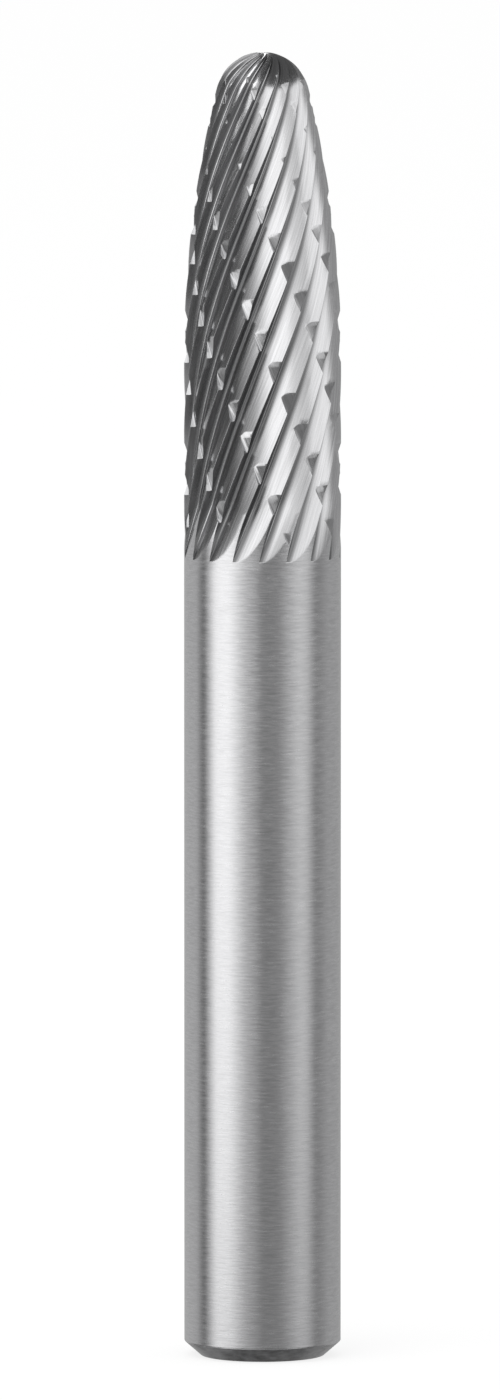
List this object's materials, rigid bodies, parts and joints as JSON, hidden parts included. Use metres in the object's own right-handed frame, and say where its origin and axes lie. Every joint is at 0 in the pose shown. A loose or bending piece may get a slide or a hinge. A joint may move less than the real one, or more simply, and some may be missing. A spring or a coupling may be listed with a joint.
{
  "type": "rotary burr",
  "caption": "Slim rotary burr with a tapered, round-nosed head: helical cutting flutes notched by crossing chip breakers, in one piece with its plain round shank.",
  "frame": {"origin": "centre of the shank's flat end, which the burr stands on", "axes": "+Z along the burr's axis from the shank's end to the tip of the head; -Z is the way the burr goes into a collet"},
  "size_m": [0.006, 0.006, 0.05],
  "materials": {
    "ground_carbide": "ground bright: fine rings round the shank, fine lines along the flutes"
  },
  "bodies": {
    "root": {"burr": "ground_carbide"}
  },
  "joints": []
}
